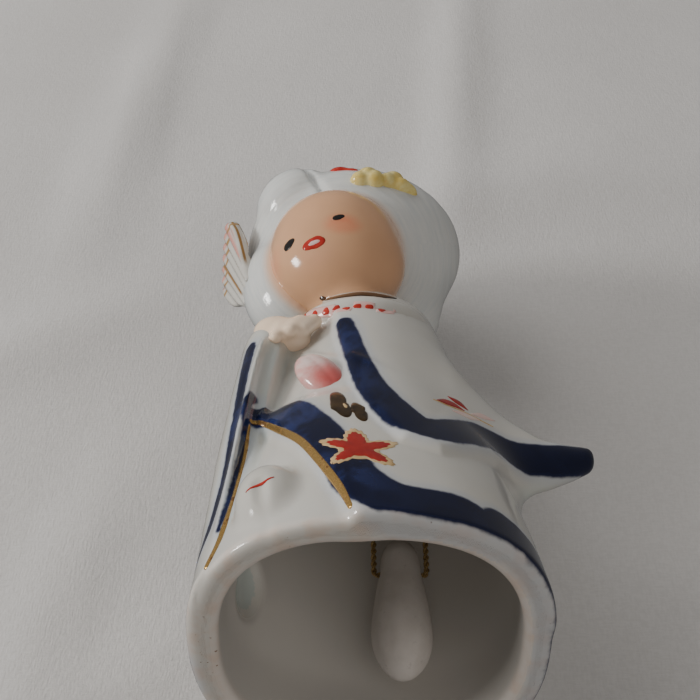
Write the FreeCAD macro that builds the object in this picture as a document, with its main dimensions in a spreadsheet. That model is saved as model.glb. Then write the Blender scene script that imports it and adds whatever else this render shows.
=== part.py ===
import FreeCAD, Part
import os

import Sketcher
from FreeCAD import Placement, Rotation, Vector

# A porcelain dancer bell, in millimetres. +Z is up the bell's axis, -Y is the figure's front,
# +X is on the right of someone who faces it. The origin is the centre of the flat rim.

SIZES = {
    # the robe, as ellipses at seven heights: how high, half the width, half the depth
    "mouth_high": 0, "mouth_wide": 24, "mouth_deep": 23.5,
    "hem_high": 10, "hem_wide": 22.8, "hem_deep": 22,
    "knee_high": 24, "knee_wide": 20.6, "knee_deep": 18.8,
    "hip_high": 38, "hip_wide": 17.6, "hip_deep": 15.6,
    "waist_high": 50, "waist_wide": 15.0, "waist_deep": 13.6,
    "chest_high": 61, "chest_wide": 13.4, "chest_deep": 12,
    "shoulder_high": 70, "shoulder_wide": 11.4, "shoulder_deep": 9.8,
    "nape_high": 75, "nape_wide": 7, "nape_deep": 6.5,
    "lip": 3.9, "wall": 3.0, "crown": 0.6,
    # the draped panels stand this much proud of the robe
    "front_fold": 1.3, "side_fold": 0.6, "sash_fold": 1.7,
    # head and neck
    "head_round": 12.2, "neck_round": 6.5, "neck_high": 14,
    "face_round": 12.2, "collar_ring": 9.6, "collar_round": 2.7,
    # fan
    "fan_reach": 39, "fan_thick": 2.6, "fan_open": 7.5,
    # bar, cord and clapper
    "bar_round": 1.3, "bar_high": 66, "bar_long": 21, "hitch_across": 4.8,
    "cord_thick": 0.9, "cord_gap": 7.9, "running_gap": 0.08,
    "hitch_round": 2.3, "hitch_drop": 3.05, "hole_drop": 44.5,
    "clapper_top": 5.9, "clapper_neck": 3.0, "clapper_waist": 3.25,
    "clapper_belly": 4.45, "clapper_belly_drop": 9.5,
    "clapper_foot": 1.4, "clapper_end": 17,
    "knot_round": 1.05,
}
SWUNG_BACK = 12.0  # degrees, how far the clapper hangs back towards the rear wall

# Rounded forms pressed on to the robe and the head: centre, then half width, depth and height.
BLOBS = {
    "hair": ((-2.4, 0, 98.5), (20.8, 17, 16.5)),
    "nape_hair": ((0.5, 4.5, 85), (13.5, 10.5, 13)),
    "forelock": ((-12.8, -7.5, 102.6), (7.8, 8.0, 7.5)),
    "hair_ribbon": ((-4.2, -14.4, 104.6), (3.4, 3.0, 2.4)),
    "flower_petal_left": ((0.6, -16.0, 99.6), (3.4, 2.8, 2.6)),
    "flower_petal_right": ((6.6, -14.6, 100.2), (4.2, 3.0, 2.4)),
    "hand": ((-13.0, -10.5, 54.5), (6.2, 4.0, 4.6)),
    "tabi_foot": ((-12.3, -16.6, 8.8), (5.6, 5.2, 7.4)),
}

doc = FreeCAD.newDocument("dancer_bell")
sheet = doc.addObject("Spreadsheet::Sheet", "Sizes")


def cell(alias, value):
    """Put one named size in the next row of the sheet."""
    row = cell.row = getattr(cell, "row", 0) + 1
    sheet.set(f"A{row}", alias.replace("_", " "))
    sheet.set(f"B{row}", str(value))
    sheet.setAlias(f"B{row}", alias)


for alias, value in SIZES.items():
    cell(alias, value)
for blob, (centre, radii) in BLOBS.items():
    for axis, value in zip("xyz", centre):
        cell(f"{blob}_{axis}", value)
    for side, value in zip(("wide", "deep", "high"), radii):
        cell(f"{blob}_{side}", value)
doc.recompute()


def bind(thing, prop, formula):
    """Tie a size to the sheet; names of sizes are written bare in the formula."""
    words = formula.replace("(", " ( ").replace(")", " ) ").split()
    linked = [f"Sizes.{w}" if w[0].isalpha() and w not in ("tan", "cos", "sin") else w for w in words]
    thing.setExpression(prop, " ".join(linked))


def pieces(kind, name, **sizes):
    """Add a Part object and bind its sizes."""
    thing = doc.addObject(kind, name)
    for prop, formula in sizes.items():
        bind(thing, prop, formula)
    return thing


def robe_solid(name, inset, top_inset=None):
    """The robe's outer form, shrunk by the inset (a formula), as one loft of ellipses."""
    sections = []
    levels = ["mouth", "hem", "knee", "hip", "waist", "chest", "shoulder", "nape"]
    if top_inset:
        levels.remove("nape")
    for level in levels:
        ring = pieces("Part::Ellipse", f"{name}_{level}")
        amount = "lip" if inset == "wall" and level == "mouth" else inset
        bind(ring, "MajorRadius", f"{level}_wide - ( {amount} )")
        bind(ring, "MinorRadius", f"{level}_deep - ( {amount} )")
        drop = f" - {top_inset}" if top_inset and level == "shoulder" else ""
        bind(ring, "Placement.Base.z", f"{level}_high{drop}")
        sections.append(ring)
    loft = doc.addObject("Part::Loft", name)
    loft.Sections = sections
    loft.Solid = True
    loft.Ruled = False
    return loft


def cut(name, base, *tools):
    """Take the tools away from the base, one after another; the last result gets the name."""
    for number, tool in enumerate(tools):
        last = number == len(tools) - 1
        result = doc.addObject("Part::Cut", name if last else f"{name}_step{number}")
        result.Base = base
        result.Tool = tool
        base = result
    return base


def join(name, *shapes):
    result = doc.addObject("Part::MultiFuse", name)
    result.Shapes = list(shapes)
    result.Refine = True
    return result


def common(name, base, tool):
    result = doc.addObject("Part::Common", name)
    result.Base = base
    result.Tool = tool
    return result


def blob(name, turn=None, key=None):
    """An ellipsoid from BLOBS, turned about its own centre."""
    key = key or name
    egg = pieces(
        "Part::Ellipsoid", f"{name}_form",
        Radius2=f"{key}_wide", Radius3=f"{key}_deep", Radius1=f"{key}_high",
    )
    if turn:
        egg.Placement.Rotation = turn
    for axis in "xyz":
        bind(egg, f"Placement.Base.{axis}", f"{key}_{axis}")
    return egg


def plane(body, role):
    for feature in body.Origin.OriginFeatures:
        if feature.Role == role:
            return feature
    raise LookupError(role)


def new_body(name, base=(0, 0, 0), turn=None):
    body = doc.addObject("PartDesign::Body", name)
    body.Placement = Placement(Vector(*base), turn or Rotation())
    return body


def sketch_on(body, role, name):
    sketch = body.newObject("Sketcher::SketchObject", name)
    sketch.AttachmentSupport = [(plane(body, role), "")]
    sketch.MapMode = "FlatFace"
    return sketch


def draw(sketch, points):
    """Lines and arcs, joined in order; a pair of points is the middle and the end of an arc."""
    last = Vector(*points[0], 0)
    ends = []
    for step in points[1:]:
        if isinstance(step[0], tuple):
            middle, end = (Vector(*p, 0) for p in step)
            edge = sketch.addGeometry(Part.Arc(last, middle, end), False)
        else:
            end = Vector(*step, 0)
            edge = sketch.addGeometry(Part.LineSegment(last, end), False)
        first = 1 if sketch.getPoint(edge, 1).distanceToPoint(last) < 1e-6 else 2
        ends.append((edge, first, 3 - first))
        last = end
    for (edge, _, leaves), (following, meets, _) in zip(ends, ends[1:]):
        sketch.addConstraint(Sketcher.Constraint("Coincident", edge, leaves, following, meets))
    return ends


def outline(sketch, points):
    """The same, closed."""
    if isinstance(points[-1][0], tuple) or points[-1] != points[0]:
        points = points + [points[0]]
    ends = draw(sketch, points)
    edge, _, leaves = ends[-1]
    following, meets, _ = ends[0]
    sketch.addConstraint(Sketcher.Constraint("Coincident", edge, leaves, following, meets))


def circle(sketch, across, along, radius):
    """A circle whose radius is bound to the sheet."""
    index = sketch.addGeometry(Part.Circle(Vector(across, along, 0), Vector(0, 0, 1), 1), False)
    sketch.addConstraint(Sketcher.Constraint("Radius", index, 1))
    bind(sketch, f"Constraints[{sketch.ConstraintCount - 1}]", radius)
    return index


def pad(body, sketch, length, midplane=True):
    feature = body.newObject("PartDesign::Pad", f"{body.Name}_pad")
    feature.Profile = sketch
    feature.SideType = "Symmetric" if midplane else "One side"
    bind(feature, "Length", length)
    body.Tip = feature
    return feature


# ---- the robe: a hollow bell ------------------------------------------------------------------
outer = robe_solid("robe_outer", "0")
inner = robe_solid("robe_inner", "wall", "crown")
foot_hollow = doc.addObject("Part::Sphere", "foot_hollow")
foot_hollow.Radius = 4.6
foot_hollow.Placement.Base = Vector(-10.6, -13.4, 9)
robe = cut("robe_bell", outer, inner, foot_hollow)

# ---- sleeves: lofts of ellipses, luted to the robe ------------------------------------------------


def sleeve(name, sections, turn):
    """sections: centre, then half-width across and half-height along each ellipse."""
    rings = []
    for number, (centre, across, along) in enumerate(sections):
        ring = doc.addObject("Part::Ellipse", f"{name}_ring{number}")
        upright = along > across
        ring.MajorRadius = max(across, along)
        ring.MinorRadius = min(across, along)
        spin = Rotation(Vector(0, 0, 1), 90 if upright else 0)
        ring.Placement = Placement(Vector(*centre), turn.multiply(spin))
        rings.append(ring)
    loft = doc.addObject("Part::Loft", f"{name}_form")
    loft.Sections = rings
    loft.Solid = True
    return loft


facing_right = Rotation(Vector(0, 1, 0), Vector(0, 0, 1), Vector(1, 0, 0), "ZXY")
left_form = sleeve(
    "left_sleeve",
    [
        ((6, -3, 45), 6.0, 9.5),
        ((13, -4.5, 41), 5.6, 9.6),
        ((20, -4, 34.2), 4.2, 8.8),
        ((26, -4, 32), 2.9, 5.0),
        ((30.5, -4, 32.8), 2.2, 2.9),
        ((33.6, -4, 33.6), 1.2, 1.5),
    ],
    facing_right,
)
left_sleeve = cut("left_sleeve", left_form, outer)
right_form = sleeve(
    "right_sleeve",
    [
        ((-20.4, -1, 2.5), 3.2, 9.0),
        ((-19.5, -2, 15), 4.0, 10.0),
        ((-18.3, -2.5, 30), 4.5, 10.3),
        ((-17.0, -3, 46), 4.7, 9.6),
        ((-15.6, -4, 58), 5.2, 8.0),
        ((-14.2, -5, 63), 3.6, 4.8),
    ],
    Rotation(),
)
right_sleeve = cut("right_sleeve", right_form, outer)

# ---- panels of the robe: its own form grown a little, kept only inside an outline ------------------


def panel(name, growth, points, *tools):
    """A fold of cloth on the front: the robe grown by the fold, inside an outline in the XZ plane."""
    body = new_body(f"{name}_outline")
    sketch = sketch_on(body, "XZ_Plane", f"{name}_sketch")
    outline(sketch, points)
    pad(body, sketch, "60", midplane=False)
    grown = robe_solid(f"{name}_grown", f"0 - {growth}")
    fold = common(f"{name}_fold", grown, body)
    return cut(name, fold, outer, *tools)


front_panel = panel(
    "front_panel", "front_fold",
    [(-2.4, 0), ((-7.5, 14), (-15.5, 27)), ((-16.2, 33), (-13, 36.5)), ((0, 30), (15, 20)),
     ((19, 17), (22, 8)), (23, 0)],
    left_sleeve, right_sleeve,
)
tabi_foot = cut("tabi_foot", blob("tabi_foot"), outer, front_panel)
side_panel = panel(
    "side_panel", "side_fold",
    [(-26, 1.5), (-21.6, 1.5), ((-18.9, 14), (-16.8, 30)), (-26, 30)],
    right_sleeve, tabi_foot,
)

# ---- head, neck and collar --------------------------------------------------------------------------
HEAD = Vector(-5.3, -7, 86.5)
skull = pieces("Part::Sphere", "skull", Radius="head_round")
skull.Placement.Base = HEAD
neck = pieces("Part::Cylinder", "neck", Radius="neck_round", Height="neck_high")
neck.Placement = Placement(Vector(-1, -2.5, 68), Rotation(Vector(1, 0, 0), 14))
head = cut("head", join("head_and_neck", skull, neck), outer)

ring = pieces("Part::Torus", "collar_form", Radius1="collar_ring", Radius2="collar_round")
ring.Placement = Placement(Vector(-0.6, -2.6, 66), Rotation(Vector(1, 0, 0), 24))
collar = cut("collar", ring, right_sleeve, outer, head)

# ---- hair, cut back round the face --------------------------------------------------------------------
FACE_TURN = Rotation(Vector(0, 0, 1), Vector(-0.12, -0.62, -0.78))
opening = pieces("Part::Cylinder", "face_opening", Radius="face_round", Height="hair_deep + hair_high")
opening.Placement = Placement(HEAD, FACE_TURN)
hair_mass = join("hair_mass", blob("hair"), blob("nape_hair"))
hair = cut("hair", hair_mass, head, opening, collar, outer)
forelock = cut("forelock", blob("forelock", Rotation(Vector(0, 1, 0), -20)), hair, head, opening)
hair_ribbon = cut(
    "hair_ribbon", blob("hair_ribbon", Rotation(Vector(0, 1, 0), 25)), hair, forelock, head, opening
)
petal_left = cut("flower_petal_left", blob("flower_petal_left"), hair, head, hair_ribbon, opening)
petal_right = cut("flower_petal_right", blob("flower_petal_right"), hair, head, petal_left, opening)

# ---- hand, fan and sash knot ----------------------------------------------------------------------------
hand = cut("hand", blob("hand", Rotation(Vector(0, 1, 0), 25)), outer, right_sleeve, collar, head)
sash_knot = panel(
    "sash_knot", "sash_fold",
    [(-2.8, 41.9), ((-4.1, 45), (-7.4, 46.2)), ((-10.6, 44.6), (-11.6, 41.3)),
     ((-10.3, 38), (-7, 36.9)), ((-3.9, 38.3), (-2.8, 41.2))],
)

fan_body = new_body(
    "fan_blank", (-15.0, -6, 62), Rotation(Vector(0, 1, 0), -17).multiply(Rotation(Vector(1, 0, 0), -10))
)
fan_sketch = sketch_on(fan_body, "YZ_Plane", "fan_outline")
reach, spread = SIZES["fan_reach"], SIZES["fan_open"]
outline(
    fan_sketch,
    [(-2.5, 0), (-spread, reach - 4), ((0, reach), (spread, reach - 4)), (2.5, 0)],
)
pad(fan_body, fan_sketch, "fan_thick")
fan = cut("fan", fan_body, hair, right_sleeve, hand, collar, outer, head, forelock)

# ---- the bar in the crown, and what hangs on it --------------------------------------------------------
bar_body = new_body("bar_blank")
bar_sketch = sketch_on(bar_body, "YZ_Plane", "bar_section")
circle(bar_sketch, 0, 0, "bar_round")
pad(bar_body, bar_sketch, "bar_long")
bind(bar_body, "Placement.Base.z", "bar_high")
hanger_bar = cut("hanger_bar", bar_body, robe)

SWING = Rotation(Vector(1, 0, 0), SWUNG_BACK)


def hung(name):
    """A body whose own origin is the bar's axis, swung back with everything that hangs there."""
    body = new_body(name, turn=SWING)
    bind(body, "Placement.Base.x", "hitch_across")
    bind(body, "Placement.Base.z", "bar_high")
    return body


half_gap = SIZES["cord_gap"] / 2
cord_half = SIZES["cord_thick"] / 2
hole_drop = SIZES["hole_drop"]
hitch_drop = SIZES["hitch_drop"]
bend = 0.6  # radius of the cord's turns into the clapper

hitch = hung("cord_hitch")
hitch_sketch = sketch_on(hitch, "YZ_Plane", "hitch_outline")
wide = SIZES["hitch_round"]
low = wide - 0.9
outline(
    hitch_sketch,
    [(-wide, 0), ((0, wide), (wide, 0)), (low, -hitch_drop), ((0, -hitch_drop - low), (-low, -hitch_drop))],
)
circle(hitch_sketch, 0, 0, "bar_round + running_gap")
circle(hitch_sketch, 0, -hitch_drop, "cord_thick / 2 + running_gap")
pad(hitch, hitch_sketch, "cord_thick")


def cord_run(name, points):
    """A run of cord along straight lines and tangent arcs in the plane it hangs in."""
    body = hung(name)
    path = sketch_on(body, "XZ_Plane", f"{name}_path")
    draw(path, points)
    section = body.newObject("Sketcher::SketchObject", f"{name}_section")
    section.AttachmentSupport = [(path, "Edge1")]
    section.MapMode = "NormalToEdge"
    circle(section, 0, 0, "cord_thick / 2")
    pipe = body.newObject("PartDesign::AdditivePipe", f"{name}_pipe")
    pipe.Profile = section
    pipe.Spine = path
    body.Tip = pipe
    return body


arc_low = -hitch_drop - half_gap
shoulder = half_gap * 0.5 ** 0.5
strand_end = -hole_drop + bend
cord_top = cord_run(
    "cord_top",
    [(-half_gap, arc_low), ((0, -hitch_drop), (half_gap, arc_low))],
)
strand_left = cord_run("strand_left", [(-half_gap, arc_low), (-half_gap, strand_end)])
strand_right = cord_run("strand_right", [(half_gap, arc_low), (half_gap, strand_end)])
turn_in = bend * (1 - 0.5 ** 0.5)
cord_cross = cord_run(
    "cord_cross",
    [
        (-half_gap, strand_end),
        ((-half_gap + turn_in, -hole_drop + turn_in), (-half_gap + bend, -hole_drop)),
        (half_gap - bend, -hole_drop),
        ((half_gap - turn_in, -hole_drop + turn_in), (half_gap, strand_end)),
    ],
)
knot_form = pieces("Part::Sphere", "knot_form", Radius="knot_round")
knot_form.Placement = Placement(
    Vector(SIZES["hitch_across"], 0, SIZES["bar_high"])
    + SWING.multVec(Vector(half_gap + 0.35, 0, strand_end + 8)),
    SWING,
)
cord_knot = cut("cord_knot", knot_form, strand_right)

clapper = hung("clapper")
profile = sketch_on(clapper, "XZ_Plane", "clapper_profile")
top = SIZES["clapper_top"] - hole_drop
belly = (SIZES["clapper_belly"], -hole_drop - SIZES["clapper_belly_drop"])
end = -hole_drop - SIZES["clapper_end"]
outline(
    profile,
    [
        (0, top), (SIZES["clapper_neck"], top),
        ((SIZES["clapper_waist"] + 0.1, -hole_drop - 2), belly),
        ((belly[0] * 0.82, end + 3.2), (SIZES["clapper_foot"], end)), (0, end),
    ],
)
turned = clapper.newObject("PartDesign::Revolution", "clapper_turned")
turned.Profile = profile
turned.ReferenceAxis = (profile, ["V_Axis"])
turned.Angle = 360
bore_sketch = sketch_on(clapper, "YZ_Plane", "cross_hole")
circle(bore_sketch, 0, -hole_drop, "cord_thick / 2 + running_gap")
bore = clapper.newObject("PartDesign::Pocket", "cross_hole_cut")
bore.Profile = bore_sketch
bore.Type = "ThroughAll"
bore.SideType = "Symmetric"
clapper.Tip = bore

doc.recompute()

NODES = [
    robe, left_sleeve, right_sleeve, front_panel, side_panel, tabi_foot, head, collar, hair, forelock,
    hair_ribbon, petal_left, petal_right, hand, sash_knot, fan, hanger_bar, hitch, cord_top,
    strand_left, strand_right, cord_cross, cord_knot, clapper,
]
for thing in doc.Objects:
    if "Invalid" in thing.State or "Error" in thing.State:
        raise RuntimeError(f"{thing.Name}: {thing.State}")
os.makedirs("parts", exist_ok=True)
for node in NODES:
    node.Label = node.Name
    shape = node.Shape
    if not shape.isValid() or not shape.Solids:
        raise RuntimeError(f"{node.Name} is not a valid solid")
    shape.exportStep(f"parts/{node.Name}.step")
    box = shape.optimalBoundingBox(False, False)
    print(
        f"{node.Name:20s} solids {len(shape.Solids)} volume {shape.Volume:9.1f}"
        f" x {box.XMin:6.1f} {box.XMax:6.1f} y {box.YMin:6.1f} {box.YMax:6.1f}"
        f" z {box.ZMin:6.1f} {box.ZMax:6.1f}"
    )
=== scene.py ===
import math

import bmesh
import bpy
import numpy as np
from mathutils import Matrix, Vector
from mathutils.bvhtree import BVHTree


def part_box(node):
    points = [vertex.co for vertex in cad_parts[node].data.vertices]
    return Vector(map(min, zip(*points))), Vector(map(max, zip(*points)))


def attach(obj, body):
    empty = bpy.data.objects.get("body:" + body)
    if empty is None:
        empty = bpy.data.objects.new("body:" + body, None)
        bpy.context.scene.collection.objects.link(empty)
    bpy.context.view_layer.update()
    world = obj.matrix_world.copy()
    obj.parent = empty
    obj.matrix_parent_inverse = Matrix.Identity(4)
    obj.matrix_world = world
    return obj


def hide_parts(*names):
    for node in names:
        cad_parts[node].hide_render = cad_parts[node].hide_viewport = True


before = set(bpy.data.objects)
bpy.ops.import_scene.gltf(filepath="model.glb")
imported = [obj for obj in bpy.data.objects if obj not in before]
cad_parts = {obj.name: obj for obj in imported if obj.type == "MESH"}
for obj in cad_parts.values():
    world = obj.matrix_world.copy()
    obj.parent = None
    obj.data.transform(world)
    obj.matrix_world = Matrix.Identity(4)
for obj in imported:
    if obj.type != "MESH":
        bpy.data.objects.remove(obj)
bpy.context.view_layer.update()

# Lengths in the modelling code are millimetres in the row frame: +Z up the bell, -Y its front.
# Every mesh is scaled to metres as it is made.
MM = 0.001


def node_box(node):
    low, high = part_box(node)
    return np.array(low) / MM, np.array(high) / MM


# ---- signed distance fields


def smooth_min(a, b, soft):
    mix = np.clip(0.5 + 0.5 * (b - a) / soft, 0, 1)
    return b + (a - b) * mix - soft * mix * (1 - mix)


def smooth_max(a, b, soft):
    return -smooth_min(-a, -b, soft)


def hump(off, wide):
    """1 where off is 0, dying away to both sides."""
    return np.exp(-(off / wide) ** 2)


def ease(edge0, edge1, value):
    t = np.clip((value - edge0) / (edge1 - edge0), 0, 1)
    return t * t * (3 - 2 * t)


def curve_through(heights, values, soft=5.0):
    """A smooth curve of value against height through the given levels."""
    fine = np.arange(min(heights) - 20, max(heights) + 20, 0.5)
    rough = np.interp(fine, heights, values)
    width = int(soft / 0.5) | 1
    window = np.hanning(width + 2)[1:-1]
    padded = np.pad(rough, width // 2, mode="reflect", reflect_type="odd")
    smooth = np.convolve(padded, window / window.sum(), mode="valid")
    return lambda h: np.interp(h, fine, smooth)


def ellipsoid(p, centre, radii, turn=None):
    q = p - np.asarray(centre, float)
    if turn is not None:
        q = q @ turn
    r = np.asarray(radii, float)
    near = np.linalg.norm(q / r, axis=-1)
    slope = np.linalg.norm(q / r**2, axis=-1)
    return np.where(near < 1e-6, -r.min(), near * (near - 1) / np.maximum(slope, 1e-9))


def turned(axis, degrees):
    """A rotation as a matrix for points stored in rows."""
    return np.array(Matrix.Rotation(math.radians(degrees), 3, axis))


def capsule_chain(p, points, widths):
    """Distance to a chain of segments whose half-width changes along it, and how far along."""
    best = np.full(p.shape[:-1], 1e9)
    along = np.zeros(p.shape[:-1])
    run = 0.0
    for (a, b), (wa, wb) in zip(zip(points, points[1:]), zip(widths, widths[1:])):
        a, b = np.asarray(a, float), np.asarray(b, float)
        step = b - a
        length = np.linalg.norm(step)
        t = np.clip((p - a) @ step / length**2, 0, 1)
        away = np.linalg.norm(p - (a + t[..., None] * step), axis=-1) - (wa + (wb - wa) * t)
        closer = away < best
        best = np.where(closer, away, best)
        along = np.where(closer, run + t * length, along)
        run += length
    return best, along


def side_of_line(x, z, points):
    """Signed distance in the front view to an open line; positive on the line's right."""
    best = np.full(x.shape, 1e9)
    sign = np.ones(x.shape)
    for (ax, az), (bx, bz) in zip(points, points[1:]):
        dx, dz = bx - ax, bz - az
        t = np.clip(((x - ax) * dx + (z - az) * dz) / (dx * dx + dz * dz), 0, 1)
        away = np.hypot(x - ax - t * dx, z - az - t * dz)
        turn = (x - ax) * dz - (z - az) * dx
        closer = away < best - 1e-9
        sign = np.where(closer, np.where(turn >= 0, 1, -1), sign)
        best = np.minimum(best, away)
    return best * sign


# ---- meshes from fields
CORNERS = [(i, j, k) for i in (0, 1) for j in (0, 1) for k in (0, 1)]


def field_mesh(field, low, high, step):
    """Vertices and quads of the surface where the field is zero: surface nets, then two
    Newton steps on to the exact surface."""
    low = np.asarray(low, float)
    counts = np.ceil((np.asarray(high, float) - low) / step).astype(int) + 1
    axes = [low[a] + step * np.arange(counts[a]) for a in range(3)]
    values = np.empty(counts, np.float32)
    for i, x in enumerate(axes[0]):
        y, z = np.meshgrid(axes[1], axes[2], indexing="ij")
        values[i] = field(np.stack([np.full_like(y, x), y, z], axis=-1))
    inside = values < 0
    cells = tuple(c - 1 for c in counts)
    count_in = np.zeros(cells, np.int8)
    for i, j, k in CORNERS:
        count_in += inside[i:i + cells[0], j:j + cells[1], k:k + cells[2]]
    mixed = (count_in > 0) & (count_in < 8)
    index = np.argwhere(mixed)
    number = np.full(cells, -1)
    number[mixed] = np.arange(len(index))
    total = np.zeros((len(index), 3))
    hits = np.zeros(len(index))
    for a in CORNERS:
        for axis in range(3):
            if a[axis]:
                continue
            b = list(a)
            b[axis] = 1
            fa = values[tuple((index + a).T)]
            fb = values[tuple((index + b).T)]
            cross = (fa < 0) != (fb < 0)
            t = np.where(cross, fa / np.where(cross, fa - fb, 1), 0)
            spot = np.array(a, float)[None] + t[:, None] * (np.array(b) - np.array(a))
            total += np.where(cross[:, None], spot, 0)
            hits += cross
    verts = low + step * (index + total / hits[:, None])
    faces = []
    for axis in range(3):
        u, v = (axis + 1) % 3, (axis + 2) % 3
        here = [slice(1, -1)] * 3
        there = [slice(1, -1)] * 3
        here[axis] = slice(None, -1)
        there[axis] = slice(1, None)
        change = inside[tuple(here)] != inside[tuple(there)]
        spot = np.argwhere(change)
        spot[:, u] += 1
        spot[:, v] += 1
        start_in = inside[tuple(spot.T)]
        ring = []
        for du, dv in ((-1, -1), (0, -1), (0, 0), (-1, 0)):
            cell = spot.copy()
            cell[:, u] += du
            cell[:, v] += dv
            ring.append(number[tuple(cell.T)])
        quad = np.stack(ring, axis=1)
        quad[~start_in] = quad[~start_in][:, ::-1]
        faces.append(quad)
    faces = np.concatenate(faces)
    reach = 0.08 * step
    for _ in range(2):
        here = field(verts)
        slope = np.stack(
            [(field(verts + reach * e) - field(verts - reach * e)) / (2 * reach) for e in np.eye(3)],
            axis=1,
        )
        size = np.maximum((slope**2).sum(1), 0.15)
        move = -(here / size)[:, None] * slope
        far = np.linalg.norm(move, axis=1)
        move *= np.minimum(1, 0.4 * step / np.maximum(far, 1e-9))[:, None]
        verts = verts + move
    return verts, faces


def new_object(name, verts, faces, material, body="bell"):
    """A smooth mesh object from millimetre vertices, riding on a body if it has one."""
    if isinstance(faces, np.ndarray):
        faces = faces.tolist()
    mesh = bpy.data.meshes.new(name)
    mesh.from_pydata((np.asarray(verts) * MM).tolist(), [], faces)
    mesh.validate()
    mesh.update()
    mesh.shade_smooth()
    obj = bpy.data.objects.new(name, mesh)
    bpy.context.scene.collection.objects.link(obj)
    mesh.materials.append(material)
    if body:
        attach(obj, body)
    return obj


def formed(name, field, low, high, steps, material, body="bell"):
    """A piece meshed from its field; steps are the final and the quick one."""
    verts, faces = field_mesh(field, low, high, steps[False])
    return new_object(name, verts, faces, material, body)


def closed_outward(obj):
    """Turn a closed mesh's faces to point out of it."""
    mesh = bmesh.new()
    mesh.from_mesh(obj.data)
    bmesh.ops.recalc_face_normals(mesh, faces=mesh.faces)
    mesh.to_mesh(obj.data)
    mesh.free()
    obj.data.update()
    obj.data.shade_smooth()
    return obj


def tube_faces(rows, sides, base=0):
    """Quads round a row of rings, with a face over each end."""
    faces = []
    for start in range(base, base + (rows - 1) * sides, sides):
        for k in range(sides):
            n = (k + 1) % sides
            faces.append([start + k, start + n, start + sides + n, start + sides + k])
    faces.append([base + k for k in range(sides)][::-1])
    faces.append([base + (rows - 1) * sides + k for k in range(sides)])
    return faces


def vertex_places(obj):
    return np.array([v.co for v in obj.data.vertices]) / MM


def set_attribute(obj, name, values):
    layer = obj.data.attributes.new(name, "FLOAT", "POINT")
    layer.data.foreach_set("value", np.asarray(values, np.float32))


def hollows(obj, field, reach=1.1):
    """Where glaze pools: how much the field bends inwards around each vertex."""
    normals = np.array([v.normal for v in obj.data.vertices])
    outward = field(vertex_places(obj) + normals * reach)
    return np.clip((reach * 0.9 - outward) / (reach * 0.7), 0, 1)


# ---- shader helpers


class Shader:
    """A short way to write a node tree."""

    def __init__(self, name):
        self.material = bpy.data.materials.new(name)
        self.material.use_nodes = True
        self.tree = self.material.node_tree
        self.main = self.tree.nodes["Principled BSDF"]
        self.out = self.tree.nodes["Material Output"]
        self.coords = self.add("ShaderNodeTexCoord").outputs["Object"]

    def add(self, kind, **inputs):
        node = self.tree.nodes.new(kind)
        for key, value in inputs.items():
            self.link(node.inputs[key.replace("_", " ")], value)
        return node

    def link(self, socket, value):
        if isinstance(value, bpy.types.NodeSocket):
            self.tree.links.new(value, socket)
        else:
            socket.default_value = value

    def math(self, operation, a, b=0.0, c=0.0):
        node = self.tree.nodes.new("ShaderNodeMath")
        node.operation = operation
        for socket, value in zip(node.inputs, (a, b, c)):
            self.link(socket, value)
        return node.outputs[0]

    def times(self, a, b):
        return self.math("MULTIPLY", a, b)

    def attribute(self, name):
        node = self.tree.nodes.new("ShaderNodeAttribute")
        node.attribute_name = name
        return node.outputs["Fac"]

    def noise(self, scale, detail=3.0, roughness=0.5, coords=None, distortion=0.0):
        node = self.add("ShaderNodeTexNoise", Scale=scale, Detail=detail, Roughness=roughness,
                        Distortion=distortion)
        self.link(node.inputs["Vector"], coords or self.coords)
        return node.outputs["Fac"]

    def stretched(self, sx, sy, sz):
        node = self.tree.nodes.new("ShaderNodeMapping")
        self.link(node.inputs["Vector"], self.coords)
        node.inputs["Scale"].default_value = (sx, sy, sz)
        return node.outputs["Vector"]

    def between(self, value, low, high, to_low=0.0, to_high=1.0, smooth=True):
        node = self.tree.nodes.new("ShaderNodeMapRange")
        node.interpolation_type = "SMOOTHSTEP" if smooth else "LINEAR"
        for key, item in (("Value", value), ("From Min", low), ("From Max", high),
                          ("To Min", to_low), ("To Max", to_high)):
            self.link(node.inputs[key], item)
        return node.outputs["Result"]

    def mix(self, factor, a, b):
        node = self.tree.nodes.new("ShaderNodeMix")
        node.data_type = "RGBA"
        self.link(node.inputs[0], factor)
        self.link(node.inputs[6], a if isinstance(a, bpy.types.NodeSocket) else (*a, 1))
        self.link(node.inputs[7], b if isinstance(b, bpy.types.NodeSocket) else (*b, 1))
        return node.outputs[2]

    def spot(self, centre, radii, turn=None, soft=0.25):
        """1 inside an ellipsoid at centre (mm), fading out across its edge."""
        shift = self.tree.nodes.new("ShaderNodeMapping")
        shift.vector_type = "TEXTURE"
        self.link(shift.inputs["Vector"], self.coords)
        shift.inputs["Location"].default_value = [c * MM for c in centre]
        if turn:
            shift.inputs["Rotation"].default_value = [math.radians(a) for a in turn]
        shift.inputs["Scale"].default_value = [r * MM for r in radii]
        size = self.tree.nodes.new("ShaderNodeVectorMath")
        size.operation = "LENGTH"
        self.link(size.inputs[0], shift.outputs[0])
        return self.between(size.outputs["Value"], 1 + soft, 1 - soft)

    def bump(self, height, distance, strength=1.0, onto=None):
        node = self.add("ShaderNodeBump", Strength=strength, Distance=distance, Height=height)
        if onto is not None:
            self.link(node.inputs["Normal"], onto)
        return node.outputs["Normal"]

    def set(self, **inputs):
        for key, value in inputs.items():
            if isinstance(value, tuple) and len(value) == 3 and "Color" in key:
                value = (*value, 1)
            self.link(self.main.inputs[key.replace("_", " ")], value)

    def paint(self, tone):
        """Take the tone as the base colour, and hand the material back."""
        self.link(self.main.inputs["Base Color"], tone)
        return self.material


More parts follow.
